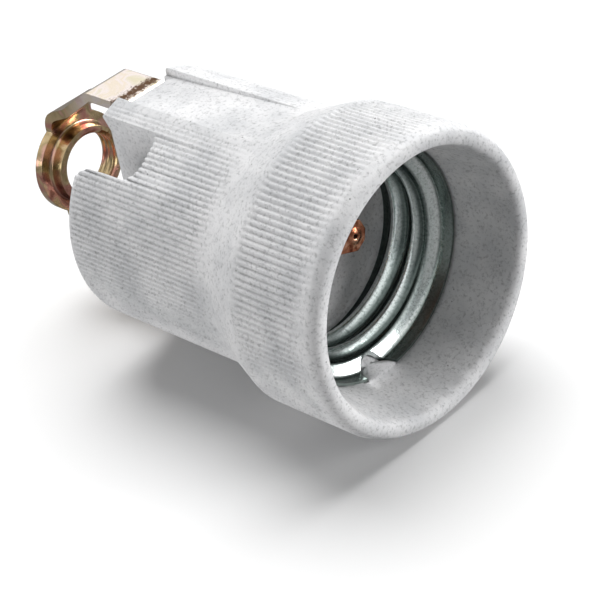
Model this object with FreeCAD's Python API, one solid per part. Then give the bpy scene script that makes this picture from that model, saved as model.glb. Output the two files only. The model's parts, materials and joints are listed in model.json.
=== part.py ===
"""Porcelain screw-cap lamp holder with a pressed steel fixing bracket, in millimetres.

The lamp axis is X and the mouth faces +X. The origin is the centre of the bracket's
threaded hole, on the bracket's rear face. The bracket's two legs lie at +Z and -Z.
Depths are measured back from the mouth face.
"""
import FreeCAD, Part
import math
import os

os.makedirs("parts", exist_ok=True)
Vector = FreeCAD.Vector

# ---------------------------------------------------------------- porcelain body
body_length = 46.8
body_radius = 17.45
collar_radius = 20.0
collar_length = 14.0          # from the mouth face to the start of the cone
cone_length = 6.5
rim_outer_radius = 19.2       # where the rounded rim meets the mouth face
rim_round_length = 2.6
rim_round_back = 0.7          # the rim's arc passes this far behind the mouth face
rim_round_in = 0.28           # and this far inside the collar's radius
rim_inner_round = 0.9
mouth_radius = 17.3           # bore at the mouth, inside the rounded rim
shell_seat_depth = 9.1        # depth at which the lining wall meets the shell's edge
floor_gap = 0.84              # from the shell's inner end to the cavity floor
web_thickness = 5.6
rear_edge_round = 0.7
chamber_radius = 14.4
block_width = 13.0            # porcelain between the two wiring chambers
wire_notch_depth = 11.2
wire_notch_near = 114.8       # sides of the notch, about X from +Y towards +Z
wire_notch_far = 139.2
wire_notch_near_round = 1.8
wire_notch_far_round = 3.4
wire_notch_flare = 3.0        # round corner where the far side meets the rear face
ramp_width = 8.8
ramp_floor_rear = 15.65       # from the axis to the ramp's floor, at the rear face
ramp_floor_front = 16.9       # the same at the ramp's front end
ramp_end_depth = 20.6
ramp_runout_deg = 40.0
saddle_depth = 1.1            # the bracket's feet lie this deep in the rear face

# ---------------------------------------------------------------- screw shell
thread_major_radius = 13.35   # inside of the shell at the thread's root
thread_minor_radius = 12.15   # inside of the shell at the thread's crest
thread_pitch = 3.63
thread_length = 7.26
thread_fade = 1.2             # length over which the thread grows and dies away
thread_crest_depth = 13.4     # depth of a crest at the angle below
thread_crest_angle = 315.0
shell_sheet = 0.35
skirt_radius = 15.2           # inside of the plain band at the shell's mouth
skirt_length = 1.7
shoulder_length = 1.3
key_notch_radius = 2.8
key_notch_angle = 264.5       # about X, from +Y towards +Z
key_lug_clearance = 0.3       # between the notch and the porcelain lug inside it
tab_width = 4.0
tab_end = 2.2                 # the tab runs this far past its rivet

# ---------------------------------------------------------------- electrical parts
contact_sheet = 0.5
contact_width = 5.6
contact_tip_width = 4.4
contact_foot = 2.1            # the foot runs this far past its rivet
contact_bend = 3.0            # from the rivet to the bend where the tongue rises
contact_tip_flat = 3.0        # from the second bend to the tip
contact_tip_lift = 0.4        # the tip's flat still rises this much
contact_tip_y = 6.6
contact_tip_z = -1.25
contact_rise = 3.3            # height of the tongue's tip over the cavity floor
dimple_radius = 1.0
dimple_height = 0.5
dimple_from_tip = 1.7
rivet_y = 9.0
rivet_z = 3.6
rivet_radius = 1.2
rivet_head_radius = 1.8
rivet_head_height = 0.8
terminal_sheet = 1.2
terminal_width = 5.4
terminal_end = 3.2            # the plate runs this far past its rivet and its screw
terminal_screw_y = 9.8
terminal_screw_z = -4.2
terminal_screw_radius = 1.75
terminal_screw_length = 4.6   # below the head
terminal_head_radius = 2.9
terminal_head_height = 2.0
tip_pocket_depth = 3.4        # room in the web for the terminal screw's tip
driver_slot_width = 0.8
driver_slot_depth = 1.0
clamp_sheet = 0.8
clamp_width = 5.2
clamp_length = 6.0
clamp_lip = 0.8
wire_space = 0.6              # room that the clamp's lips leave over the terminal

# ---------------------------------------------------------------- bracket
bracket_height = 18.8         # from the bracket's rear face to the body's rear face
strap_width = 7.4
strap_sheet = 1.3
leg_outer = 15.2              # from the axis to a leg's outer face
foot_bend_outer = 1.6
shoulder_start = 11.1         # where a leg turns into its shoulder, from the rear face
shoulder_break_x = 5.0        # where the shoulder turns a little flatter
shoulder_break_z = 11.0
shoulder_end_z = 9.0          # where the shoulder meets the rear face, from the axis
shoulder_bend_outer = 1.7
break_bend_outer = 3.0
ring_bend_outer = 3.6
ring_radius = 7.3
hole_radius = 4.46            # crest of the bracket's M10 x 1 thread
tube_radius = 5.6
tube_height = 2.1             # above the ring's inner face
tube_root_round = 0.5
tube_entry_chamfer = 0.4
foot_screw_z = 9.0
foot_end_radius = 3.7
bracket_screw_radius = 1.95
bracket_screw_length = 10.5   # below the head
bracket_head_radius = 3.3
bracket_head_height = 2.3
spring_washer_sheet = 0.9
spring_washer_radius = 3.2
spring_washer_gap = 0.7
nut_width = 7.0
nut_height = 3.0
nut_depth = 4.6               # porcelain between the saddle and the nut

# ---------------------------------------------------------------- clearances
running_clearance = 0.05
screw_clearance = 0.35
rivet_clearance = 0.15
body_clearance = 0.3
saddle_clearance = 0.25
nut_clearance = 0.2
head_clearance = 0.3          # a terminal screw is left this loose over its clamp
floor_step_clearance = 0.1

# ---------------------------------------------------------------- places worked out
AXIS = Vector(1, 0, 0)
ORIGIN = Vector(0, 0, 0)
overrun = 1.0                 # how far cutting tools run past the faces they open
shell_sample = 0.25           # spacing of the points that the shell's section runs through
shell_sections = 24           # sections that the shell is lofted through
shell_seam_angle = 100.0      # the loft starts here, clear of the notch and the tab
mouth_x = bracket_height + body_length
saddle_x = bracket_height + saddle_depth
shell_mouth_x = mouth_x - shell_seat_depth
thread_start_x = shell_mouth_x - skirt_length - shoulder_length
shell_end_x = thread_start_x - thread_length
floor_x = shell_end_x - floor_gap
web_x = floor_x - web_thickness
thread_bore_radius = thread_major_radius + shell_sheet + body_clearance
skirt_bore_radius = skirt_radius + shell_sheet + body_clearance
floor_radius = thread_minor_radius + shell_sheet + floor_step_clearance
terminal_x = web_x - terminal_sheet
clamp_x = terminal_x - wire_space - clamp_sheet
foot_rear_x = saddle_x - strap_sheet
washer_x = foot_rear_x - spring_washer_sheet
nut_x = saddle_x + nut_depth


def point(x, y, z):
    return Vector(x, y, z)


def bar(radius, length, x, y=0.0, z=0.0):
    # a round bar along +X that starts at x
    return Part.makeCylinder(radius, length, point(x, y, z), AXIS)


def box(x0, x1, y0, y1, z0, z1):
    return Part.makeBox(x1 - x0, y1 - y0, z1 - z0, point(x0, y0, z0))


def turned(profile):
    # a solid turned about X from a closed list of (x, radius) corners
    corners = [point(x, 0, radius) for x, radius in profile]
    face = Part.Face(Part.makePolygon(corners + corners[:1]))
    return face.revolve(ORIGIN, AXIS, 360)


def polar(radius, degrees, x=0.0):
    turn = math.radians(degrees)
    return point(x, radius * math.cos(turn), radius * math.sin(turn))


def about_axis(shape, degrees):
    copy = shape.copy()
    copy.rotate(ORIGIN, AXIS, degrees)
    return copy


def save(shape, name):
    shape.exportStep("parts/" + name + ".step")
    print(name, len(shape.Solids), round(shape.Volume, 1), shape.isValid())


# ================================================================ porcelain body
def quarter_round(corner, to_x, to_z):
    # an arc that takes the corner off between (corner.x + to_x) and (corner.z + to_z)
    along = point(corner.x + to_x, 0, corner.z)
    across = point(corner.x, 0, corner.z + to_z)
    share = 1 - math.sqrt(0.5)
    middle = point(corner.x + to_x * share, 0, corner.z + to_z * share)
    return along, across, Part.Arc(along, middle, across).toShape()


def outer_form():
    # collar, cone and body turned in one, with a rounded rim and rear edge
    cone_x = mouth_x - collar_length - cone_length
    collar_x = mouth_x - collar_length
    rear_corner = point(bracket_height, 0, body_radius)
    rear_along, rear_across, rear_arc = quarter_round(rear_corner, rear_edge_round, -rear_edge_round)
    rim_corner = point(mouth_x, 0, collar_radius)
    rim_start = point(mouth_x - rim_round_length, 0, collar_radius)
    rim_end = point(mouth_x, 0, rim_outer_radius)
    rim_middle = point(mouth_x - rim_round_back, 0, collar_radius - rim_round_in)
    cone_start = point(cone_x, 0, body_radius)
    cone_end = point(collar_x, 0, collar_radius)
    edges = [
        Part.makeLine(point(bracket_height, 0, 0), rear_across),
        rear_arc,
        Part.makeLine(rear_along, cone_start),
        Part.makeLine(cone_start, cone_end),
        Part.makeLine(cone_end, rim_start),
        Part.Arc(rim_start, rim_middle, rim_end).toShape(),
        Part.makeLine(rim_end, point(rim_corner.x, 0, 0)),
        Part.makeLine(point(rim_corner.x, 0, 0), point(bracket_height, 0, 0)),
    ]
    return Part.Face(Part.Wire(edges)).revolve(ORIGIN, AXIS, 360)


def mouth_cavity():
    # the bore for the lamp's cap and the shell, down to the cavity floor
    skirt_end_x = shell_mouth_x - skirt_length - body_clearance
    shoulder_end_x = skirt_end_x - shoulder_length
    return turned([
        (floor_x, 0),
        (floor_x, floor_radius),
        (shell_end_x, floor_radius),
        (shell_end_x, thread_bore_radius),
        (shoulder_end_x, thread_bore_radius),
        (skirt_end_x, skirt_bore_radius),
        (shell_mouth_x, skirt_bore_radius),
        (mouth_x - rim_inner_round, mouth_radius),
        (mouth_x, mouth_radius + rim_inner_round / 2),
        (mouth_x + overrun, mouth_radius + rim_inner_round / 2),
        (mouth_x + overrun, 0),
    ])


def wiring_chamber(side):
    # one of the two chambers behind the web, open at the rear; side is 1 or -1
    rear = bracket_height - overrun
    near = block_width / 2
    far = chamber_radius + overrun
    y0, y1 = sorted((side * near, side * far))
    return bar(chamber_radius, web_x - rear, rear).common(box(rear, web_x, y0, y1, -far, far))


def wire_notch():
    # the wire's way through the rear wall: one side starts at the block's corner, one is radial
    front_x = bracket_height + wire_notch_depth
    block_y = -block_width / 2
    corner = point(front_x, block_y, math.sqrt(chamber_radius ** 2 - block_y ** 2))
    outline = [corner,
               polar(body_radius + overrun, wire_notch_near, front_x),
               polar(body_radius + overrun, wire_notch_far, front_x),
               polar(chamber_radius - overrun, wire_notch_far, front_x)]
    face = Part.Face(Part.makePolygon(outline + outline[:1]))
    tool = face.extrude(Vector(-wire_notch_depth - overrun, 0, 0))
    for inner, outer, radius in ((outline[0], outline[1], wire_notch_near_round),
                                 (outline[3], outline[2], wire_notch_far_round)):
        middle = inner.add(outer).multiply(0.5)
        side = [edge for edge in tool.Edges if edge.CenterOfMass.distanceToPoint(middle) < 0.01]
        tool = tool.makeFillet(radius, side)
    return tool


def notch_flare():
    # takes the corner off between the notch's far side and the rear face
    flare = wire_notch_flare
    block = box(bracket_height - overrun, bracket_height + flare,
                chamber_radius - overrun, body_radius + overrun, 0, flare)
    kept = Part.makeCylinder(flare, body_radius + 2 * overrun,
                             point(bracket_height + flare, 0, flare), Vector(0, 1, 0))
    return about_axis(block.cut(kept), wire_notch_far)


def ramp():
    # the smooth ramp that runs back to the saddle, at +Z
    half = ramp_width / 2
    end_x = mouth_x - ramp_end_depth
    top = collar_radius + overrun
    runout = (top - ramp_floor_front) / math.tan(math.radians(ramp_runout_deg))
    rise = (ramp_floor_front - ramp_floor_rear) / (end_x - bracket_height)
    side = [point(bracket_height - overrun, -half, ramp_floor_rear - rise * overrun),
            point(end_x, -half, ramp_floor_front),
            point(end_x + runout, -half, top),
            point(bracket_height - overrun, -half, top)]
    return Part.Face(Part.makePolygon(side + side[:1])).extrude(Vector(0, ramp_width, 0))


def saddle():
    # the slot across the rear face in which the bracket's feet lie
    half = strap_width / 2 + saddle_clearance
    far = body_radius + overrun
    return box(bracket_height - overrun, saddle_x, -half, half, -far, far)


def nut_pocket(sign):
    # a slot in from one chamber that traps a square nut behind a foot
    half = nut_width / 2 + nut_clearance
    centre = sign * foot_screw_z
    y0, y1 = sorted((-sign * half, sign * (block_width / 2 + overrun)))
    return box(nut_x - nut_clearance, nut_x + nut_height + nut_clearance,
               y0, y1, centre - half, centre + half)


def key_lug():
    # a half-round lug that fills the shell's key notch and stops it from turning
    inner = skirt_radius
    outer = skirt_bore_radius + body_clearance
    lug = Part.makeCylinder(key_notch_radius - key_lug_clearance, outer - inner,
                            point(shell_mouth_x, inner, 0), Vector(0, 1, 0))
    rear_half = box(shell_mouth_x - key_notch_radius, shell_mouth_x, inner, outer,
                    -key_notch_radius, key_notch_radius)
    return about_axis(lug.common(rear_half), key_notch_angle)


def ceramic_body():
    body = outer_form().cut(mouth_cavity())
    for side in (1, -1):
        body = body.cut(wiring_chamber(side))
    for turn in (0, 180):
        body = body.cut(about_axis(wire_notch(), turn))
        body = body.cut(about_axis(notch_flare(), turn))
        body = body.cut(about_axis(ramp(), turn))
    body = body.cut(saddle())
    for sign in (1, -1):
        body = body.cut(nut_pocket(sign))
        screw_z = sign * foot_screw_z
        screw_y = sign * terminal_screw_y
        body = body.cut(bar(bracket_screw_radius + screw_clearance, bracket_screw_length,
                            saddle_x, 0, screw_z))
        body = body.cut(bar(rivet_radius + rivet_clearance, web_thickness,
                            web_x, sign * rivet_y, rivet_z))
        body = body.cut(bar(terminal_screw_radius + screw_clearance, tip_pocket_depth,
                            web_x, screw_y, terminal_screw_z))
    return body.fuse(key_lug())


# ================================================================ screw shell
def shell_radius(x, degrees):
    # inside radius of the shell: skirt, shoulder and rolled thread, which advances with the angle
    if x >= thread_start_x:
        share = min(1.0, (x - thread_start_x) / shoulder_length)
        rise = (1 - math.cos(math.pi * share)) / 2
        return thread_major_radius + (skirt_radius - thread_major_radius) * rise
    crest_depth = thread_crest_depth - thread_pitch * (degrees - thread_crest_angle) / 360
    wave = (1 + math.cos(2 * math.pi * (mouth_x - x - crest_depth) / thread_pitch)) / 2
    share = min(1.0, min(thread_start_x - x, x - shell_end_x) / thread_fade)
    fade = share * share * (3 - 2 * share)
    return thread_major_radius - (thread_major_radius - thread_minor_radius) * wave * fade


def shell_section(degrees):
    # the sheet's section in the half plane at an angle about the axis
    length = shell_mouth_x - shell_end_x
    count = round(length / shell_sample)
    inner = []
    outer = []
    for i in range(count + 1):
        x = shell_end_x + length * i / count
        radius = shell_radius(x, degrees)
        before = shell_radius(max(x - shell_sheet / 2, shell_end_x), degrees)
        after = shell_radius(min(x + shell_sheet / 2, shell_mouth_x), degrees)
        slope = (after - before) / shell_sheet
        inner.append(polar(radius, degrees, x))
        outer.append(polar(radius + shell_sheet * math.hypot(1, slope), degrees, x))
    inner_line = Part.BSplineCurve()
    inner_line.interpolate(inner)
    outer_line = Part.BSplineCurve()
    outer_line.interpolate(outer[::-1])
    return Part.Wire([inner_line.toShape(), Part.makeLine(inner[-1], outer[-1]),
                      outer_line.toShape(), Part.makeLine(outer[0], inner[0])])


def shell_tab():
    # the strip that runs from the shell's inner end down to the floor and its rivet
    half = tab_width / 2
    reach = math.hypot(rivet_y, rivet_z)
    drop_radius = math.sqrt((floor_radius - floor_step_clearance) ** 2 - half ** 2) - shell_sheet
    ledge = box(shell_end_x, shell_end_x + shell_sheet, drop_radius,
                thread_major_radius + shell_sheet / 2, -half, half)
    drop = box(floor_x, shell_end_x + shell_sheet, drop_radius, drop_radius + shell_sheet, -half, half)
    foot = box(floor_x, floor_x + shell_sheet, reach - tab_end, drop_radius + shell_sheet, -half, half)
    strip = ledge.fuse([drop, foot])
    strip = about_axis(strip, math.degrees(math.atan2(rivet_z, rivet_y)))
    return strip.cut(bar(rivet_radius + running_clearance, 2 * shell_sheet,
                         floor_x - shell_sheet / 2, rivet_y, rivet_z))


def screw_shell():
    sections = [shell_section(shell_seam_angle + 360 * i / shell_sections)
                for i in range(shell_sections)]
    shell = Part.makeLoft(sections, True, False, True)
    notch = Part.makeCylinder(key_notch_radius, skirt_radius + overrun,
                              point(shell_mouth_x, 0, 0), Vector(0, 1, 0))
    return shell.cut(about_axis(notch, key_notch_angle)).fuse(shell_tab())


# ================================================================ electrical parts
def centre_contact():
    # a sprung tongue, folded from one strip along its own line from rivet to tip
    root = Vector(0, -rivet_y, rivet_z)
    tip = Vector(0, contact_tip_y, contact_tip_z)
    along = tip.sub(root)
    length = along.Length
    angle = math.degrees(math.atan2(along.z, along.y))
    half = contact_width / 2
    knee = length - contact_tip_flat
    line = [(0, -contact_foot), (0, contact_bend),
            (contact_rise - contact_tip_lift, knee), (contact_rise, length)]
    lower = [point(floor_x + x, s, -half) for x, s in line]
    upper = [point(floor_x + x + contact_sheet, s, -half) for x, s in reversed(line)]
    side = Part.Face(Part.makePolygon(lower + upper + lower[:1]))
    strip = side.extrude(Vector(0, 0, contact_width))
    tip_half = contact_tip_width / 2
    outline = [point(floor_x - overrun, -contact_foot, -half),
               point(floor_x - overrun, contact_bend, -half),
               point(floor_x - overrun, length - tip_half, -tip_half)]
    mirrored = [point(p.x, p.y, -p.z) for p in reversed(outline)]
    round_tip = Part.Arc(outline[-1], point(outline[0].x, length, 0), mirrored[0]).toShape()
    edges = Part.makePolygon(outline).Edges + [round_tip] + Part.makePolygon(mirrored).Edges
    edges.append(Part.makeLine(mirrored[-1], outline[0]))
    plan = Part.Face(Part.Wire(edges)).extrude(Vector(contact_rise + 4 * overrun, 0, 0))
    tongue = strip.common(plan)
    dimple_y = length - dimple_from_tip
    dimple_drop = contact_tip_lift * dimple_from_tip / contact_tip_flat
    dimple_base = floor_x + contact_rise + contact_sheet / 2 - dimple_drop
    dome = Part.makeCone(dimple_radius, dimple_radius / 2, dimple_height + contact_sheet / 2,
                         point(dimple_base, dimple_y, 0), AXIS)
    tongue = tongue.fuse(dome)
    tongue.rotate(ORIGIN, AXIS, angle)
    tongue.translate(root)
    return tongue.cut(bar(rivet_radius + running_clearance, 2 * contact_sheet,
                          floor_x - contact_sheet / 2, -rivet_y, rivet_z))


def rivet(side, sheet):
    # holds a strip of the given sheet on the floor and a terminal behind the web
    y = side * rivet_y
    shank = bar(rivet_radius, floor_x + sheet - terminal_x, terminal_x, y, rivet_z)
    front = bar(rivet_head_radius, rivet_head_height, floor_x + sheet, y, rivet_z)
    rear = bar(rivet_head_radius, rivet_head_height, terminal_x - rivet_head_height, y, rivet_z)
    body = shank.fuse([front, rear])
    rims = [edge for edge in body.Edges if abs(edge.Length - 2 * math.pi * rivet_head_radius) < 0.01
            and (edge.BoundBox.XMax > floor_x + sheet + rivet_head_height / 2
                 or edge.BoundBox.XMin < terminal_x - rivet_head_height / 2)]
    return body.makeFillet(rivet_head_height / 2, rims)


def terminal(side):
    # a flat plate on the web's rear face, shaped to the chamber
    centre = side * (block_width / 2 + body_clearance + terminal_width / 2)
    plate = box(terminal_x, web_x, centre - terminal_width / 2, centre + terminal_width / 2,
                terminal_screw_z - terminal_end, rivet_z + terminal_end)
    plate = plate.common(bar(chamber_radius - body_clearance, terminal_sheet, terminal_x))
    plate = plate.cut(bar(rivet_radius + running_clearance, terminal_sheet,
                          terminal_x, side * rivet_y, rivet_z))
    return plate.cut(bar(terminal_screw_radius + running_clearance, terminal_sheet,
                         terminal_x, side * terminal_screw_y, terminal_screw_z))


def clamp_plate(side):
    # a small saddle with two lips that stand on the terminal
    y = side * terminal_screw_y
    half = clamp_width / 2
    low = terminal_screw_z - clamp_length / 2
    high = terminal_screw_z + clamp_length / 2
    plate = box(clamp_x, clamp_x + clamp_sheet, y - half, y + half, low, high)
    lips = [box(clamp_x, terminal_x, y - half, y + half, z0, z0 + clamp_lip)
            for z0 in (low, high - clamp_lip)]
    plate = plate.fuse(lips).common(bar(chamber_radius - body_clearance, terminal_x - clamp_x, clamp_x))
    return plate.cut(bar(terminal_screw_radius + screw_clearance, clamp_sheet,
                         clamp_x, y, terminal_screw_z))


def slotted_screw(head_x, y, z, shank_radius, length, head_radius, head_height):
    # a cheese-head screw that points along +X; head_x is the underside of the head
    head = bar(head_radius, head_height, head_x - head_height, y, z)
    rim = [edge for edge in head.Edges if abs(edge.BoundBox.XMax - (head_x - head_height)) < 0.01]
    head = head.makeFillet(head_height / 4, rim)
    shank = bar(shank_radius, length, head_x, y, z)
    tip = [edge for edge in shank.Edges if abs(edge.BoundBox.XMin - (head_x + length)) < 0.01]
    shank = shank.makeChamfer(shank_radius / 4, tip)
    slot = box(head_x - head_height - overrun, head_x - head_height + driver_slot_depth,
               y - head_radius - overrun, y + head_radius + overrun,
               z - driver_slot_width / 2, z + driver_slot_width / 2)
    return head.fuse(shank).cut(slot)


def terminal_screw(side):
    return slotted_screw(clamp_x - head_clearance, side * terminal_screw_y, terminal_screw_z,
                         terminal_screw_radius, terminal_screw_length,
                         terminal_head_radius, terminal_head_height)


# ================================================================ bracket
def bent_line(corners, radii):
    # straight runs through the corners (x, z), with an arc of each radius between them
    points = [point(x, 0, z) for x, z in corners]
    edges = []
    start = points[0]
    for before, corner, after, radius in zip(points, points[1:], points[2:], radii):
        back = before.sub(corner).normalize()
        ahead = after.sub(corner).normalize()
        half_angle = back.getAngle(ahead) / 2
        setback = radius / math.tan(half_angle)
        first = corner.add(back.multiply(setback))
        last = corner.add(ahead.multiply(setback))
        bisector = first.add(last).multiply(0.5).sub(corner).normalize()
        centre_gap = radius / math.sin(half_angle)
        middle = corner.add(bisector.multiply(centre_gap - radius))
        edges.append(Part.makeLine(start, first))
        edges.append(Part.Arc(first, middle, last).toShape())
        start = last
    edges.append(Part.makeLine(start, points[-1]))
    return edges


def offset_corners(corners, distance):
    # the corners of a line that runs beside a bent line, on the side away from its turns
    moved = []
    for before, corner, after in zip([None] + corners[:-1], corners, corners[1:] + [None]):
        sides = []
        for start, end in ((before, corner), (corner, after)):
            if start is None or end is None:
                continue
            dx, dz = end[0] - start[0], end[1] - start[1]
            length = math.hypot(dx, dz)
            sides.append((-dz / length, dx / length))
        nx = sum(side[0] for side in sides)
        nz = sum(side[1] for side in sides)
        share = len(sides) * distance / (nx * nx + nz * nz)
        moved.append((corner[0] + nx * share, corner[1] + nz * share))
    return moved


def strap():
    # the strap's side view, swept across its width; the outline runs foot to foot
    foot_inner_z = foot_screw_z - foot_end_radius
    upper = [(saddle_x, foot_inner_z), (saddle_x, leg_outer), (shoulder_start, leg_outer),
             (shoulder_break_x, shoulder_break_z), (0, shoulder_end_z)]
    outer = upper + [(x, -z) for x, z in reversed(upper)]
    inner = offset_corners(outer, strap_sheet)
    outer_bends = [foot_bend_outer, shoulder_bend_outer, break_bend_outer, ring_bend_outer]
    inner_bends = [foot_bend_outer - strap_sheet, shoulder_bend_outer - strap_sheet,
                   break_bend_outer + strap_sheet, ring_bend_outer - strap_sheet]
    edges = bent_line(outer, outer_bends + outer_bends[::-1])
    edges += bent_line(inner, inner_bends + inner_bends[::-1])
    for end in (0, -1):
        edges.append(Part.makeLine(point(outer[end][0], 0, outer[end][1]),
                                   point(inner[end][0], 0, inner[end][1])))
    section = Part.Face(Part.Wire(Part.__sortEdges__(edges)))
    section.translate(point(0, -strap_width / 2, 0))
    return section.extrude(Vector(0, strap_width, 0))


def tube_root():
    # the fillet where the drawn tube rises from the ring
    edge_radius = tube_radius + tube_root_round
    corner = turned([(strap_sheet, tube_radius), (strap_sheet, edge_radius),
                     (strap_sheet + tube_root_round, edge_radius),
                     (strap_sheet + tube_root_round, tube_radius)])
    hollow = Part.makeTorus(edge_radius, tube_root_round,
                            point(strap_sheet + tube_root_round, 0, 0), AXIS)
    return corner.cut(hollow)


def foot_outline(sign):
    # everything of a foot that its round end cuts away
    inner_z = foot_screw_z - foot_end_radius
    block = box(foot_rear_x, saddle_x, -strap_width / 2, strap_width / 2, inner_z, foot_screw_z)
    rest = block.cut(bar(foot_end_radius, strap_sheet, foot_rear_x, 0, foot_screw_z))
    return about_axis(rest, 0 if sign > 0 else 180)


def mounting_bracket():
    ring = bar(ring_radius, strap_sheet, 0)
    tube = bar(tube_radius, strap_sheet + tube_height, 0)
    plate = strap().fuse([ring, tube, tube_root()])
    for sign in (1, -1):
        plate = plate.cut(foot_outline(sign))
        plate = plate.cut(bar(bracket_screw_radius + screw_clearance, strap_sheet,
                              foot_rear_x, 0, sign * foot_screw_z))
    plate = plate.cut(bar(hole_radius, strap_sheet + tube_height, 0))
    entry = Part.makeCone(hole_radius + tube_entry_chamfer, hole_radius, tube_entry_chamfer,
                          ORIGIN, AXIS)
    return plate.cut(entry)


def bracket_screw(sign):
    return slotted_screw(washer_x, 0, sign * foot_screw_z, bracket_screw_radius,
                         bracket_screw_length, bracket_head_radius, bracket_head_height)


def spring_washer(sign):
    # a split ring, pressed flat under the screw's head
    z = sign * foot_screw_z
    ring = bar(spring_washer_radius, spring_washer_sheet, washer_x, 0, z)
    ring = ring.cut(bar(bracket_screw_radius + screw_clearance / 2, spring_washer_sheet, washer_x, 0, z))
    gap = box(washer_x, foot_rear_x, 0, spring_washer_radius,
              z - spring_washer_gap / 2, z + spring_washer_gap / 2)
    return ring.cut(gap)


def square_nut(sign):
    half = nut_width / 2
    z = sign * foot_screw_z
    nut = box(nut_x, nut_x + nut_height, -half, half, z - half, z + half)
    return nut.cut(bar(bracket_screw_radius + running_clearance, nut_height, nut_x, 0, z))


save(ceramic_body().removeSplitter(), "ceramic_body")
save(screw_shell(), "screw_shell")
save(centre_contact().removeSplitter(), "centre_contact")
save(rivet(-1, contact_sheet).removeSplitter(), "contact_rivet")
save(rivet(1, shell_sheet).removeSplitter(), "shell_rivet")
for side, name in ((-1, "contact"), (1, "shell")):
    save(terminal(side).removeSplitter(), name + "_terminal")
    save(clamp_plate(side).removeSplitter(), name + "_clamp_plate")
    save(terminal_screw(side).removeSplitter(), name + "_terminal_screw")
save(mounting_bracket().removeSplitter(), "mounting_bracket")
for sign, name in ((1, "upper"), (-1, "lower")):
    save(bracket_screw(sign).removeSplitter(), "bracket_screw_" + name)
    save(spring_washer(sign).removeSplitter(), "spring_washer_" + name)
    save(square_nut(sign).removeSplitter(), "square_nut_" + name)
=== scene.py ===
# Porcelain screw-cap lamp holder on its steel fixing bracket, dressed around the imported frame.
# The scene is in metres and the dictionaries are in millimetres. The lamp's axis is X, the
# mouth faces +X and the bracket's threaded hole is at the origin.
import json
import math
import bmesh
import bpy
from mathutils import Matrix, Vector

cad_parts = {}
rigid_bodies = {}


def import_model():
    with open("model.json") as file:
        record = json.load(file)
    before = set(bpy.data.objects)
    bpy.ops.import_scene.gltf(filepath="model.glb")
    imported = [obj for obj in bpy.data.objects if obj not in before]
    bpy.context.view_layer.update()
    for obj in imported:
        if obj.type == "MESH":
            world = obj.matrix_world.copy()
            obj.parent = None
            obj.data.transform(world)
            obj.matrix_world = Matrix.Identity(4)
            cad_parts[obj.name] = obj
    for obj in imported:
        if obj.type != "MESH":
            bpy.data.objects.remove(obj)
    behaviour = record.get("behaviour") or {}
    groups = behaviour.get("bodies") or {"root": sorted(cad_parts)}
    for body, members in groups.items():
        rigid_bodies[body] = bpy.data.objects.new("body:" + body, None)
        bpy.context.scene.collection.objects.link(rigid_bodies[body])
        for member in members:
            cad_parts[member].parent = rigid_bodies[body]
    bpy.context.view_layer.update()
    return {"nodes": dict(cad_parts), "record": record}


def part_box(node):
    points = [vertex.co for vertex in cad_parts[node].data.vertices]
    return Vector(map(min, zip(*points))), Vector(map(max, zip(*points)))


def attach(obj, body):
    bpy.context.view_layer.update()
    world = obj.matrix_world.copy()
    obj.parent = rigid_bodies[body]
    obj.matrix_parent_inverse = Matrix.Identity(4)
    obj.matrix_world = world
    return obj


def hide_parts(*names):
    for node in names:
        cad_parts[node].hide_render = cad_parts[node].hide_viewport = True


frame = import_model()
cadNodes = frame["nodes"]
mm = 0.001
mergeDistance = 0.0005              # mm, points closer than this are one
bodyLow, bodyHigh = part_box("ceramic_body")
rearX, mouthX = bodyLow.x, bodyHigh.x
holderBody = "holder"
print("frame loaded:", len(cadNodes), "nodes")


# small helpers
def toLinear(hexColour):
    channels = [int(hexColour[i:i + 2], 16) / 255 for i in (1, 3, 5)]
    linear = [c / 12.92 if c <= 0.04045 else ((c + 0.055) / 1.055) ** 2.4 for c in channels]
    return (*linear, 1.0)


def addNode(tree, kind, inputs=None, **settings):
    node = tree.nodes.new(kind)
    for name, value in settings.items():
        setattr(node, name, value)
    for socket, value in (inputs or {}).items():
        if isinstance(value, bpy.types.NodeSocket):
            tree.links.new(value, node.inputs[socket])
        else:
            node.inputs[socket].default_value = value
    return node


def setRamp(node, stops):
    ramp = node.color_ramp
    while len(ramp.elements) < len(stops):
        ramp.elements.new(0.5)
    for element, (place, colour) in zip(ramp.elements, stops):
        element.position = place
        element.color = toLinear(colour)
    return node.outputs["Color"]


def noise(tree, place, size, **settings):
    # a noise texture whose patches are about the given size in mm
    inputs = {"Vector": place, "Scale": 1 / (size * mm)}
    inputs.update({name.capitalize(): value for name, value in settings.items()})
    return addNode(tree, "ShaderNodeTexNoise", inputs).outputs["Fac"]


def ramped(tree, value, stops):
    return setRamp(addNode(tree, "ShaderNodeValToRGB", {"Fac": value}), stops)


def mixColours(tree, factor, first, second, blend="MIX"):
    mixed = addNode(tree, "ShaderNodeMix", {"Factor": factor, "A": first, "B": second},
                    data_type="RGBA", blend_type=blend)
    return mixed.outputs["Result"]


def bumpFrom(tree, shader, height, strength, depth, softEdge=None):
    # a fine unevenness, its depth and the radius of the soft edge under it in mm
    inputs = {"Height": height, "Strength": strength, "Distance": depth * mm}
    if softEdge:
        edge = addNode(tree, "ShaderNodeBevel", {"Radius": softEdge * mm}, samples=6)
        inputs["Normal"] = edge.outputs["Normal"]
    bump = addNode(tree, "ShaderNodeBump", inputs)
    tree.links.new(bump.outputs["Normal"], shader.inputs["Normal"])


def emptyTree(owner):
    owner.use_nodes = True
    owner.node_tree.nodes.clear()
    return owner.node_tree


def newMaterial(name):
    material = bpy.data.materials.new(name)
    tree = emptyTree(material)
    shader = addNode(tree, "ShaderNodeBsdfPrincipled")
    addNode(tree, "ShaderNodeOutputMaterial", {"Surface": shader.outputs["BSDF"]})
    return material, tree, shader


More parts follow.
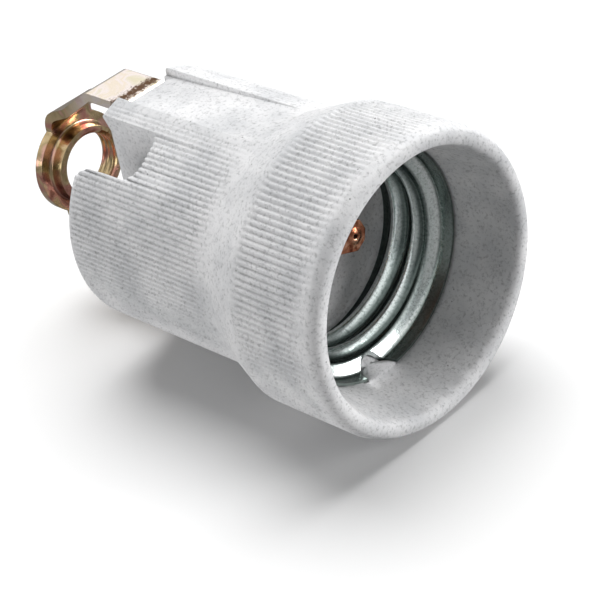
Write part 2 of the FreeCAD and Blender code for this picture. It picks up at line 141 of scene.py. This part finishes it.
def startPiece(name):
    # a new piece starts with nothing else selected
    bpy.ops.object.select_all(action="DESELECT")
    piece = bpy.context.view_layer.objects.active
    piece.name = name
    piece.data.name = name
    piece.select_set(True)
    return piece


def activate(piece):
    bpy.ops.object.select_all(action="DESELECT")
    bpy.context.view_layer.objects.active = piece
    piece.select_set(True)


def editMesh(piece):
    activate(piece)
    bpy.ops.object.mode_set(mode="EDIT")
    bpy.ops.mesh.select_all(action="DESELECT")
    return bmesh.from_edit_mesh(piece.data)


def leaveEdit():
    bpy.ops.object.mode_set(mode="OBJECT")


def applyPlace(piece):
    activate(piece)
    bpy.ops.object.transform_apply(location=True, rotation=True, scale=True)


def applyModifier(piece, kind, name, **settings):
    activate(piece)
    modifier = piece.modifiers.new(name, kind)
    for key, value in settings.items():
        setattr(modifier, key, value)
    bpy.ops.object.modifier_apply(modifier=modifier.name)


def pickVerts(piece, test):
    # goes into edit mode with only the points that pass the test selected
    mesh = editMesh(piece)
    for vert in mesh.verts:
        vert.select = test(vert)
    mesh.select_flush(True)
    bmesh.update_edit_mesh(piece.data)


def turnSkin(name, steps, rows):
    # a bar about X: one disc drawn at the first row, then extruded and scaled from row to row
    (x, radius), rest = rows[0], rows[1:]
    bpy.ops.mesh.primitive_circle_add(vertices=steps, radius=radius, fill_type="NGON",
                                      location=(x, 0, 0), rotation=(0, math.pi / 2, 0))
    piece = startPiece(name)
    applyPlace(piece)
    editMesh(piece)
    bpy.ops.mesh.select_all(action="SELECT")
    for nextX, nextRadius in rest:
        bpy.ops.mesh.extrude_region_move(TRANSFORM_OT_translate={"value": (nextX - x, 0, 0)})
        share = nextRadius / radius
        bpy.ops.transform.resize(value=(1, share, share), center_override=(nextX, 0, 0))
        x, radius = nextX, nextRadius
    leaveEdit()
    return piece


def mergeDoubles(piece, turnOutward):
    editMesh(piece)
    bpy.ops.mesh.select_all(action="SELECT")
    bpy.ops.mesh.remove_doubles(threshold=mergeDistance * mm)
    if turnOutward:
        bpy.ops.mesh.normals_make_consistent(inside=False)
    leaveEdit()


def smoothByAngle(piece, degrees):
    activate(piece)
    bpy.ops.object.shade_smooth_by_angle(angle=math.radians(degrees))


def mergedCopy(node, name):
    # a copy of a CAD node with its loose triangles joined
    piece = cadNodes[node].copy()
    piece.data = cadNodes[node].data.copy()
    piece.parent = None
    for key in list(piece.keys()):
        del piece[key]
    piece.name = name
    piece.data.name = name
    bpy.context.scene.collection.objects.link(piece)
    mergeDoubles(piece, turnOutward=False)
    return piece


def finishPiece(piece, material, slot, body, *replaced):
    piece.data.materials.clear()
    piece.data.materials.append(material)
    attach(piece, body)
    if replaced:
        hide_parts(*replaced)


# camera, floor, world and lamps
viewSetup = {
    "aim": (40.70, 0.81, -10.90),     # mm, a point on the line of sight
    "distance": 280.0,                # mm from the aim to the camera
    "azimuth": -40.31,                # degrees about Z, from +X
    "elevation": 32.90,
    "roll": -11.38,
    "lens": 127.8,                    # mm
    "sensor": 36,                     # mm
}


def makeCamera(setup):
    azimuth, elevation = math.radians(setup["azimuth"]), math.radians(setup["elevation"])
    back = Vector((math.cos(elevation) * math.cos(azimuth),
                   math.cos(elevation) * math.sin(azimuth), math.sin(elevation)))
    level = Vector((0, 0, 1)).cross(back).normalized()
    turn = Matrix((level, back.cross(level), back)).transposed()
    turn = turn @ Matrix.Rotation(math.radians(setup["roll"]), 3, "Z")
    place = Vector(setup["aim"]) * mm + back * setup["distance"] * mm
    data = bpy.data.cameras.new("productCamera")
    data.lens = setup["lens"]
    data.sensor_width = setup["sensor"]
    data.clip_start = 0.01
    camera = bpy.data.objects.new("productCamera", data)
    camera.matrix_world = Matrix.Translation(place) @ turn.to_4x4()
    bpy.context.scene.collection.objects.link(camera)
    bpy.context.scene.camera = camera


makeCamera(viewSetup)

stageSetup = {
    "floorSize": 3000.0,              # mm
    "floorGap": 0.02,                 # mm under the object
    "floorColour": "#FFFFFF",         # as the camera sees it
    "bounceColour": "#8E8E8E",        # as the object sees it, so its underside stays dark
    "keyAngle": (-0.24, 0.32, 1.0),   # where each lamp stands, as a direction from the object
    "keyLevel": 3.10,
    "keySoftness": 56.0,              # degrees across
    "fillAngle": (-0.45, -0.95, -0.22),   # from below, like a card at the table's edge
    "fillLevel": 1.55,
    "fillSoftness": 60.0,
    "rimAngle": (1.0, 0.85, 0.12),
    "rimLevel": 2.4,
    "rimSoftness": 30.0,
    "worldLevel": 0.12,
    # what metal mirrors, by height: a white ceiling over darker walls
    "mirroredRoom": [(0.0, "#5A6060"), (0.16, "#B4B8B8"), (0.36, "#FFFFFF")],
}


def byRay(tree, seen, unseen):
    # one shader for what the camera looks at, another for the light that reaches the object
    path = addNode(tree, "ShaderNodeLightPath")
    return addNode(tree, "ShaderNodeMixShader", {0: path.outputs["Is Camera Ray"],
                                                 1: unseen.outputs[0], 2: seen.outputs[0]})


def makeFloor(setup):
    floorZ = bodyLow.z - setup["floorGap"] * mm
    bpy.ops.mesh.primitive_plane_add(size=setup["floorSize"] * mm,
                                     location=(bodyHigh.x / 2, 0, floorZ))
    floor = startPiece("floor")
    applyPlace(floor)
    material = bpy.data.materials.new("white paper sweep")
    tree = emptyTree(material)
    seen = addNode(tree, "ShaderNodeBsdfDiffuse", {"Color": toLinear(setup["floorColour"])})
    unseen = addNode(tree, "ShaderNodeBsdfDiffuse", {"Color": toLinear(setup["bounceColour"])})
    addNode(tree, "ShaderNodeOutputMaterial", {"Surface": byRay(tree, seen, unseen).outputs[0]})
    floor.data.materials.append(material)
    floor.visible_shadow = False      # the fill shines up past it


def makeLamp(name, setup):
    data = bpy.data.lights.new(name + "Lamp", "SUN")
    data.energy = setup[name + "Level"]
    data.angle = math.radians(setup[name + "Softness"])
    lamp = bpy.data.objects.new(name + "Lamp", data)
    lamp.rotation_euler = Vector(setup[name + "Angle"]).to_track_quat("Z", "Y").to_euler()
    bpy.context.scene.collection.objects.link(lamp)


def makeWorld(setup):
    world = bpy.data.worlds.new("studio")
    bpy.context.scene.world = world
    tree = emptyTree(world)
    soft = addNode(tree, "ShaderNodeBackground", {"Color": (1, 1, 1, 1),
                                                  "Strength": setup["worldLevel"]})
    white = addNode(tree, "ShaderNodeBackground", {"Color": (1, 1, 1, 1), "Strength": 1.0})
    place = addNode(tree, "ShaderNodeTexCoord").outputs["Generated"]
    height = addNode(tree, "ShaderNodeSeparateXYZ", {"Vector": place}).outputs["Z"]
    room = ramped(tree, height, setup["mirroredRoom"])
    ceiling = addNode(tree, "ShaderNodeBackground", {"Color": room, "Strength": 1.0})
    path = addNode(tree, "ShaderNodeLightPath")
    mirrored = addNode(tree, "ShaderNodeMixShader", {0: path.outputs["Is Glossy Ray"],
                                                     1: soft.outputs[0], 2: ceiling.outputs[0]})
    addNode(tree, "ShaderNodeOutputWorld", {"Surface": byRay(tree, white, mirrored).outputs[0]})


makeFloor(stageSetup)
makeWorld(stageSetup)
for lampName in ("key", "fill", "rim"):
    makeLamp(lampName, stageSetup)
bpy.context.scene.view_settings.view_transform = "Standard"
print("camera, floor and lamps placed")


# materials
porcelainSetup = {
    "cloud": 7.0,                     # mm, size of each pattern
    "grain": 0.5,
    "pores": 2.6,
    "tones": [(0.34, "#D3D4D6"), (0.60, "#EBEBEC")],
    "sand": [(0.33, "#CFCFCF"), (0.49, "#FFFFFF")],
    "pore": [(0.022, "#6E6C6A"), (0.050, "#FFFFFF")],
    # painted shade: how far the occlusion looks for nearby surfaces, and how dark it paints the
    # hollows
    "paintedShadeReach": 1.3,                 # mm
    "paintedShade": [(0.32, "#A8A8A9"), (0.68, "#FFFFFF")],
    "softEdge": 0.25,                 # mm
    "roughness": 0.78,
}


def unglazedPorcelain(setup):
    # pressed and fired without glaze: matt and chalky, faintly mottled, with a sandy grain,
    # a few dark pores, edges that look rubbed soft, and painted shade where the form is closed in
    material, tree, shader = newMaterial("unglazed porcelain")
    place = addNode(tree, "ShaderNodeTexCoord").outputs["Object"]
    cloud = noise(tree, place, setup["cloud"], detail=4, roughness=0.6)
    grain = noise(tree, place, setup["grain"], detail=4, roughness=0.75)
    pores = addNode(tree, "ShaderNodeTexVoronoi", {"Vector": place, "Randomness": 1.0,
                                                   "Scale": 1 / (setup["pores"] * mm)})
    # painted shade: ambient occlusion darkens the colour in grooves, recesses and hollows
    paintedShade = addNode(tree, "ShaderNodeAmbientOcclusion", {"Distance": setup["paintedShadeReach"] * mm},
                   samples=6, only_local=True)
    colour = ramped(tree, cloud, setup["tones"])
    for value, stops in ((grain, setup["sand"]), (pores.outputs["Distance"], setup["pore"]),
                         (paintedShade.outputs["AO"], setup["paintedShade"])):
        colour = mixColours(tree, 1.0, colour, ramped(tree, value, stops), "MULTIPLY")
    tree.links.new(colour, shader.inputs["Base Color"])
    shader.inputs["Roughness"].default_value = setup["roughness"]
    shader.inputs["IOR"].default_value = 1.45
    bumpFrom(tree, shader, grain, strength=0.55, depth=0.07, softEdge=setup["softEdge"])
    return material


plainMetals = {
    # colours, roughness, grain in mm
    "pressed brass sheet": (["#BF9A4E", "#D8B76C"], 0.30, 0.6),
    "clear zinc plated steel": (["#AEB3B8", "#C6CACE"], 0.32, 0.5),
}


def metalFinish(name):
    # metal with a slight cloud in its colour and a fine unevenness that breaks up reflections
    colours, roughness, grainSize = plainMetals[name]
    material, tree, shader = newMaterial(name)
    place = addNode(tree, "ShaderNodeTexCoord").outputs["Object"]
    cloud = noise(tree, place, grainSize * 6, detail=2)
    stops = [(0.3 + 0.4 * i / (len(colours) - 1), colour) for i, colour in enumerate(colours)]
    tree.links.new(ramped(tree, cloud, stops), shader.inputs["Base Color"])
    grain = noise(tree, place, grainSize, detail=3)
    spread = addNode(tree, "ShaderNodeMapRange", {"Value": grain, "To Min": roughness * 0.7,
                                                  "To Max": roughness * 1.4})
    tree.links.new(spread.outputs["Result"], shader.inputs["Roughness"])
    shader.inputs["Metallic"].default_value = 1.0
    bumpFrom(tree, shader, grain, strength=0.3, depth=0.02)
    return material


nickelSetup = {
    # radius in mm and colour: painted highlight on the crests and the shoulder, painted shade in
    # the troughs
    "tones": [(12.1, "#EDF3F2"), (12.6, "#D5DFDD"), (12.95, "#6E7976"), (13.42, "#4D5653"),
              (13.75, "#E3ECEA"), (14.8, "#F0F5F4"), (15.1, "#8E9894"), (15.6, "#858F8A")],
    "speck": [(0.36, "#B8BEBC"), (0.52, "#FFFFFF")],
    "grain": 0.35,                    # mm
    "roughness": 0.21,
}


def nickelShell(setup):
    # bright nickel plate, with painted shade, dull and greenish, in the thread's troughs and
    # painted highlight on the crests
    material, tree, shader = newMaterial("bright nickel plated brass")
    place = addNode(tree, "ShaderNodeTexCoord").outputs["Object"]
    across = addNode(tree, "ShaderNodeVectorMath", {0: place, 1: (0, 1, 1)}, operation="MULTIPLY")
    radius = addNode(tree, "ShaderNodeVectorMath", {0: across.outputs[0]}, operation="LENGTH")
    fromMm, toMm = setup["tones"][0][0], setup["tones"][-1][0]
    share = addNode(tree, "ShaderNodeMapRange", {"Value": radius.outputs["Value"],
                                                 "From Min": fromMm * mm, "From Max": toMm * mm})
    stops = [((at - fromMm) / (toMm - fromMm), colour) for at, colour in setup["tones"]]
    # painted shade and highlight by radius: dark in the thread's troughs, bright on the crests and
    # the shoulder
    tone = ramped(tree, share.outputs["Result"], stops)
    grain = noise(tree, place, setup["grain"], detail=4, roughness=0.7)
    speck = ramped(tree, grain, setup["speck"])
    tree.links.new(mixColours(tree, 0.8, tone, speck, "MULTIPLY"), shader.inputs["Base Color"])
    shader.inputs["Metallic"].default_value = 1.0
    shader.inputs["Roughness"].default_value = setup["roughness"]
    bumpFrom(tree, shader, grain, strength=0.2, depth=0.02)
    return material


zincSetup = {
    "paleColours": ["#EED2C6", "#F8ECE7", "#F4E6D2", "#F8EDE8", "#EAE1C4"],
    "deepColours": ["#96685A", "#C58E80", "#CDB68E", "#AE9A74", "#D3A596"],
    "deepTo": (5.5, 11.0),            # mm along X, the film is deepest on the drawn ring
    "patch": 4.6,                     # mm, size of the colour patches
    "crackle": 0.5,                   # mm
    "softEdge": 0.15,                 # mm
    "roughness": 0.16,
    "scorchFrom": 14.6,               # mm from the origin along X, where the plate is cracked
    "scorchTo": 19.9,
    "scorchColour": "#4A3320",
}


def yellowZincPlate(setup):
    # bright zinc with a yellow chromate film: gold, pink and green patches slide into each
    # other, and the film is cracked and brown where the strap is bent over at its feet
    material, tree, shader = newMaterial("yellow passivated zinc plate")
    place = addNode(tree, "ShaderNodeTexCoord").outputs["Object"]
    patch = noise(tree, place, setup["patch"], detail=2, distortion=0.8)
    along = addNode(tree, "ShaderNodeSeparateXYZ", {"Vector": place}).outputs["X"]
    films = []
    for colours in (setup["deepColours"], setup["paleColours"]):
        step = 0.36 / (len(colours) - 1)
        stops = [(0.32 + step * i, colour) for i, colour in enumerate(colours)]
        films.append(ramped(tree, patch, stops))
    deepFrom, deepTo = setup["deepTo"]
    depth = addNode(tree, "ShaderNodeMapRange", {"Value": along, "From Min": deepFrom * mm,
                                                 "From Max": deepTo * mm})
    film = mixColours(tree, depth.outputs["Result"], *films)
    crackle = noise(tree, place, setup["crackle"], detail=5, roughness=0.8)
    middle = (setup["scorchFrom"] + setup["scorchTo"]) / 2 * mm
    half = (setup["scorchTo"] - setup["scorchFrom"]) / 2 * mm
    off = addNode(tree, "ShaderNodeMath", {0: along, 1: middle}, operation="SUBTRACT")
    off = addNode(tree, "ShaderNodeMath", {0: off.outputs[0]}, operation="ABSOLUTE")
    near = addNode(tree, "ShaderNodeMapRange", {"Value": off.outputs[0], "From Min": 0.0,
                                                "From Max": half, "To Min": 0.36, "To Max": -0.20})
    amount = addNode(tree, "ShaderNodeMath", {0: crackle, 1: near.outputs["Result"]},
                     operation="ADD")
    scorch = addNode(tree, "ShaderNodeMapRange", {"Value": amount.outputs[0], "From Min": 0.60,
                                                  "From Max": 0.74}).outputs["Result"]
    colour = mixColours(tree, scorch, film, toLinear(setup["scorchColour"]))
    tree.links.new(colour, shader.inputs["Base Color"])
    shader.inputs["Metallic"].default_value = 1.0
    rough = addNode(tree, "ShaderNodeMapRange", {"Value": scorch, "To Min": setup["roughness"],
                                                 "To Max": 0.5})
    tree.links.new(rough.outputs["Result"], shader.inputs["Roughness"])
    bumpFrom(tree, shader, crackle, strength=0.25, depth=0.03, softEdge=setup["softEdge"])
    return material


porcelain = unglazedPorcelain(porcelainSetup)
nickelPlate = nickelShell(nickelSetup)
brassSheet = metalFinish("pressed brass sheet")
zincSteel = metalFinish("clear zinc plated steel")
yellowZinc = yellowZincPlate(zincSetup)
print("materials made")


# porcelain body
ribSetup = {
    "count": 150,
    "skinInset": 0.03,                # mm, the ribs' crests lie this far under the CAD surface
    "collarRadius": 20.0,
    "bodyRadius": 17.45,
    "collarLength": 14.0,             # from the mouth to the cone
    "coneLength": 6.5,
    "bodyDepth": 0.27,                # mm, from crest to groove
    "collarDepth": 0.30,
    "shape": (0.0, 0.12, 0.62, 1.0, 0.62, 0.12),   # one rib from crest to crest
    # mm from each band's end, and the share of the full depth there
    "fromRear": ((-1.0, 0), (0.2, 0.5), (1.4, 1)),
    "toCone": ((3.0, 1), (1.6, 0.4), (0.6, 0), (0, 0)),
    "fromCone": ((0, 0), (0.5, 0), (1.4, 1)),
    "toMouth": ((4.2, 1), (2.4, 0.35), (1.2, 0), (-1.0, 0)),
    # degrees from the ramps' middle lines, and the share of the depth that the body's ribs have
    "fades": ((0, 19, 0.0), (19, 25, 0.35), (25, 32, 0.7), (32, 91, 1.0)),
}


def inGroove(vert, wanted, steps, shape):
    x, place, fromRamp, toRamp = wanted
    turn = math.degrees(math.atan2(vert.co.z, vert.co.y))
    away = abs(abs(turn) - 90)        # degrees from the nearer ramp's middle line
    return (abs(vert.co.x - x) < 0.05 * mm and fromRamp <= away < toRamp
            and round(turn / 360 * steps) % len(shape) == place)


def makePorcelain(setup):
    crest = setup["collarRadius"] - setup["skinInset"]
    barrel = setup["bodyRadius"] - setup["skinInset"]
    collarX = mouthX - setup["collarLength"] * mm
    coneX = collarX - setup["coneLength"] * mm
    # place along X, radius and rib depth, row by row
    rows = []
    for start, way, radius, fullDepth, band in (
            (rearX, 1, barrel, setup["bodyDepth"], setup["fromRear"]),
            (coneX, -1, barrel, setup["bodyDepth"], setup["toCone"]),
            (collarX, 1, crest, setup["collarDepth"], setup["fromCone"]),
            (mouthX, -1, crest, setup["collarDepth"], setup["toMouth"])):
        rows += [(start + way * at * mm, radius, fullDepth * share) for at, share in band]
    steps = setup["count"] * len(setup["shape"])
    skin = turnSkin("porcelainSkin", steps, [(x, radius * mm) for x, radius, _ in rows])
    for x, radius, depth in rows:
        fades = setup["fades"] if radius == barrel else ((0, 91, 1.0),)
        for place, share in enumerate(setup["shape"]):
            for fromRamp, toRamp, strength in fades:
                if depth * share > 0:
                    wanted = (x, place, fromRamp, toRamp)
                    pickVerts(skin, lambda vert: inGroove(vert, wanted, steps, setup["shape"]))
                    drop = 1 - depth * share * strength / radius
                    bpy.ops.transform.resize(value=(1, drop, drop), center_override=(x, 0, 0))
                    leaveEdit()
    mergeDoubles(skin, turnOutward=True)
    body = mergedCopy("ceramic_body", "porcelainBody")
    applyModifier(body, "BOOLEAN", "ribbed skin", operation="INTERSECT", object=skin,
                  solver="EXACT")
    bpy.data.objects.remove(skin)
    smoothByAngle(body, degrees=42)
    finishPiece(body, porcelain, "porcelain", holderBody, "ceramic_body")
    print("porcelain body:", len(body.data.polygons), "faces")


makePorcelain(ribSetup)

# centre contact
bronzeSetup = {
    "colours": [(0.34, "#7E4430"), (0.52, "#D08C6C"), (0.66, "#F0B798")],
    "patch": 0.9,                     # mm
    # painted shade: the colour and radius of the near-black spot at the dimple's pit
    "pitShadeColour": "#1E0F0A",
    "pitShadeRadius": 0.42,                # mm
    "roughness": 0.24,
}

contactSetup = {
    "tip": (6.6, -1.25),              # mm, where the tongue ends, in Y and Z
    "foot": 2.1,                      # mm past the rivet
    "bend": 3.0,                      # mm from the rivet to the bend
    "flat": 3.0,                      # mm from the second bend to the tip
    "lift": 0.4,                      # mm that the flat rises
    "rise": 3.3,                      # mm from the cavity floor to the tip
    "width": 5.2,                     # mm at the foot
    "tipWidth": 4.2,
    "cornerLength": 1.0,              # mm, the tip's corners are cut off at a slant
    "cornerWidth": 1.5,               # mm, what is left of the width at the very end
    "sheet": 0.45,
    "cell": 0.2,                      # mm between neighbouring points
    "dimpleFromTip": 1.75,
    "dimpleHeight": 0.42,
    "dimpleReach": 1.35,
    "pitDepth": 0.75,
    "pitReach": 0.55,
}


def bronzeStrip(setup, pitPlace):
    # springy phosphor bronze, red-brown with bright rubbed places, and painted shade colouring the
    # pit in its dimple near black
    material, tree, shader = newMaterial("phosphor bronze strip")
    place = addNode(tree, "ShaderNodeTexCoord").outputs["Object"]
    patch = noise(tree, place, setup["patch"], detail=3, distortion=0.4)
    # painted shade: the colour goes near black within the pit radius of the dimple's centre
    reach = addNode(tree, "ShaderNodeVectorMath", {0: place, 1: pitPlace}, operation="DISTANCE")
    pit = addNode(tree, "ShaderNodeMapRange", {"Value": reach.outputs["Value"],
                                               "From Min": setup["pitShadeRadius"] * 0.7 * mm,
                                               "From Max": setup["pitShadeRadius"] * 1.3 * mm})
    rubbed = ramped(tree, patch, setup["colours"])
    colour = mixColours(tree, pit.outputs["Result"], toLinear(setup["pitShadeColour"]), rubbed)
    tree.links.new(colour, shader.inputs["Base Color"])
    shader.inputs["Metallic"].default_value = 1.0
    shader.inputs["Roughness"].default_value = setup["roughness"]
    bumpFrom(tree, shader, patch, strength=0.6, depth=0.12)
    return material


def tongueWidth(setup, s, length):
    knee = length - setup["flat"]
    width = setup["width"]
    if s > setup["bend"]:
        share = min(1.0, (s - setup["bend"]) / (knee - setup["bend"]))
        width += (setup["tipWidth"] - setup["width"]) * share
    past = s - (length - setup["cornerLength"])
    if past > 0:
        width -= (setup["tipWidth"] - setup["cornerWidth"]) * past / setup["cornerLength"]
    return width


def tongueHeight(setup, s, length):
    knee = length - setup["flat"]
    if s < setup["bend"]:
        return 0.0
    if s < knee:
        return (setup["rise"] - setup["lift"]) * (s - setup["bend"]) / (knee - setup["bend"])
    return setup["rise"] - setup["lift"] * (length - s) / setup["flat"]


def makeContact(setup):
    low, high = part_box("contact_rivet")
    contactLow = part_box("centre_contact")[0]
    rootY, rootZ = (low.y + high.y) / 2 / mm, (low.z + high.z) / 2 / mm
    tipY, tipZ = setup["tip"]
    length = math.hypot(tipY - rootY, tipZ - rootZ)
    turn = math.atan2(tipZ - rootZ, tipY - rootY)
    whole = length + setup["foot"]
    alongCells = round(whole / setup["cell"])
    acrossCells = 2 * round(setup["width"] / setup["cell"] / 2)
    bpy.ops.mesh.primitive_grid_add(x_subdivisions=alongCells, y_subdivisions=acrossCells, size=mm)
    tongue = startPiece("contactTongue")
    tongue.scale = (whole, 1, 1)
    tongue.location = ((length - setup["foot"]) / 2 * mm, 0, 0)
    applyPlace(tongue)
    for row in range(alongCells + 1):
        s = -setup["foot"] + whole * row / alongCells
        pickVerts(tongue, lambda vert: abs(vert.co.x / mm - s) < setup["cell"] / 4)
        bpy.ops.transform.resize(value=(1, tongueWidth(setup, s, length), 1),
                                 center_override=(s * mm, 0, 0))
        bpy.ops.transform.translate(value=(0, 0, tongueHeight(setup, s, length) * mm))
        leaveEdit()
    dimple = length - setup["dimpleFromTip"]
    nearest = min(tongue.data.vertices, key=lambda vert: math.hypot(vert.co.x / mm - dimple,
                                                                    vert.co.y / mm)).index
    for height, reach in ((setup["dimpleHeight"], setup["dimpleReach"]),
                          (-setup["pitDepth"], setup["pitReach"])):
        pickVerts(tongue, lambda vert: vert.index == nearest)
        bpy.ops.transform.translate(value=(0, 0, height * mm), use_proportional_edit=True,
                                    proportional_edit_falloff="SMOOTH",
                                    proportional_size=reach * mm)
        leaveEdit()
    mergeDoubles(tongue, turnOutward=True)
    applyModifier(tongue, "SOLIDIFY", "sheet", thickness=setup["sheet"] * mm, offset=1.0)
    applyModifier(tongue, "BEVEL", "pressed edge", width=0.1 * mm, segments=2,
                  limit_method="ANGLE")
    tongue.matrix_world = Matrix(((0, 0, 1, contactLow.x),
                                  (math.cos(turn), -math.sin(turn), 0, rootY * mm),
                                  (math.sin(turn), math.cos(turn), 0, rootZ * mm),
                                  (0, 0, 0, 1)))
    applyPlace(tongue)
    mergeDoubles(tongue, turnOutward=True)
    smoothByAngle(tongue, degrees=35)
    # the dimple's centre, where the painted pit shade sits
    pitX = contactLow.x + (tongueHeight(setup, dimple, length) + setup["sheet"]) * mm
    pitPlace = (pitX, (rootY + dimple * math.cos(turn)) * mm,
                (rootZ + dimple * math.sin(turn)) * mm)
    strip = bronzeStrip(bronzeSetup, pitPlace)
    finishPiece(tongue, strip, "phosphor_bronze", holderBody, "centre_contact")
    print("centre contact:", len(tongue.data.polygons), "faces")


makeContact(contactSetup)

# threads
threadSetup = {
    # pitch and depth in mm; the CAD nodes are plain at the threads' crests
    "bracket": {"pitch": 1.0, "depth": 0.55},
    "fixing": {"pitch": 0.7, "depth": 0.38},
    "terminal": {"pitch": 0.7, "depth": 0.36},
    "overlap": 0.08,                  # mm that the cutting tool stands clear of the surface
    "flank": 0.86,                    # share of the pitch that the groove takes
    "steps": 48,
    "plainUnderHead": 0.5,            # mm of a screw's shank left uncut
}


def threadTool(pitch, surface, bottom, startX, length, centreY, centreZ, setup):
    # a right-handed helical ridge, three-sided in section, that cuts one groove
    turns = math.ceil(length / pitch) + 1
    bpy.ops.mesh.primitive_circle_add(vertices=3, radius=mm, fill_type="NOTHING",
                                      rotation=(math.pi / 2, 0, 0))
    tool = startPiece("threadTool")
    applyPlace(tool)
    pickVerts(tool, lambda vert: vert.co.z > 0)
    bpy.ops.transform.translate(value=(0, 0, (bottom - 1) * mm))
    leaveEdit()
    pickVerts(tool, lambda vert: vert.co.z < 0)
    bpy.ops.transform.resize(value=(pitch * setup["flank"] / math.sqrt(3), 1, 1),
                             center_override=(0, 0, 0))
    bpy.ops.transform.translate(value=(0, 0, (surface + 0.5) * mm))
    leaveEdit()
    applyModifier(tool, "SCREW", "helix", axis="X", angle=2 * math.pi, screw_offset=pitch * mm,
                  iterations=turns, steps=setup["steps"], render_steps=setup["steps"])
    editMesh(tool)
    bpy.ops.mesh.select_all(action="SELECT")
    bpy.ops.mesh.fill_holes(sides=3)
    leaveEdit()
    tool.location = ((startX - pitch / 2) * mm, centreY * mm, centreZ * mm)
    applyPlace(tool)
    mergeDoubles(tool, turnOutward=True)
    return tool


def cutThread(piece, kind, surface, inward, startX, length, centreY, centreZ):
    # inward cuts into a shank, the other way cuts out into the wall of a hole
    setup = threadSetup[kind]
    side = -1 if inward else 1
    clear = surface - side * threadSetup["overlap"]
    bottom = surface + side * setup["depth"]
    tool = threadTool(setup["pitch"], clear, bottom, startX, length, centreY, centreZ,
                      threadSetup)
    applyModifier(piece, "BOOLEAN", "thread", operation="DIFFERENCE", object=tool, solver="EXACT")
    bpy.data.objects.remove(tool)


def makeBracket():
    bracket = mergedCopy("mounting_bracket", "fixingBracket")
    mounts = {mount["name"]: mount["dims"] for mount in frame["record"]["mounts"]}
    hole = mounts["bracket_thread"]
    cutThread(bracket, "bracket", hole["r_mm"], False, startX=0, length=hole["length_mm"],
              centreY=0, centreZ=0)
    smoothByAngle(bracket, degrees=30)
    finishPiece(bracket, yellowZinc, "yellow_zinc_steel", holderBody, "mounting_bracket")
    print("bracket:", len(bracket.data.polygons), "faces")


def makeScrew(node, name, kind, shankRadius, headHeight, body):
    low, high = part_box(node)
    centreY, centreZ = (low.y + high.y) / 2 / mm, (low.z + high.z) / 2 / mm
    startX = low.x / mm + headHeight + threadSetup["plainUnderHead"]
    endX = high.x / mm
    screw = mergedCopy(node, name)
    cutThread(screw, kind, shankRadius, True, startX, endX - startX, centreY, centreZ)
    smoothByAngle(screw, degrees=30)
    finishPiece(screw, zincSteel, "plated_steel", body, node)
    return len(screw.data.polygons)


screwSetup = [
    # node, name, thread, shank radius and head height in mm, body
    ("bracket_screw_upper", "upperFixingScrew", "fixing", 1.95, 2.3, holderBody),
    ("bracket_screw_lower", "lowerFixingScrew", "fixing", 1.95, 2.3, holderBody),
    ("contact_terminal_screw", "contactTerminalScrew", "terminal", 1.75, 2.0, "contact_screw"),
    ("shell_terminal_screw", "shellTerminalScrew", "terminal", 1.75, 2.0, "shell_screw"),
]

makeBracket()
print("screws:", sum(makeScrew(*row) for row in screwSetup), "faces")

# metal nodes that keep their CAD shape
nodeFinish = {
    "screw_shell": nickelPlate,
    "contact_rivet": brassSheet, "shell_rivet": brassSheet,
    "contact_terminal": brassSheet, "shell_terminal": brassSheet,
    "contact_clamp_plate": zincSteel, "shell_clamp_plate": zincSteel,
    "spring_washer_upper": zincSteel, "spring_washer_lower": zincSteel,
    "square_nut_upper": zincSteel, "square_nut_lower": zincSteel,
}
for nodeName, finish in nodeFinish.items():
    cadNodes[nodeName].data.materials.clear()
    cadNodes[nodeName].data.materials.append(finish)
print("finishes put on the CAD nodes")
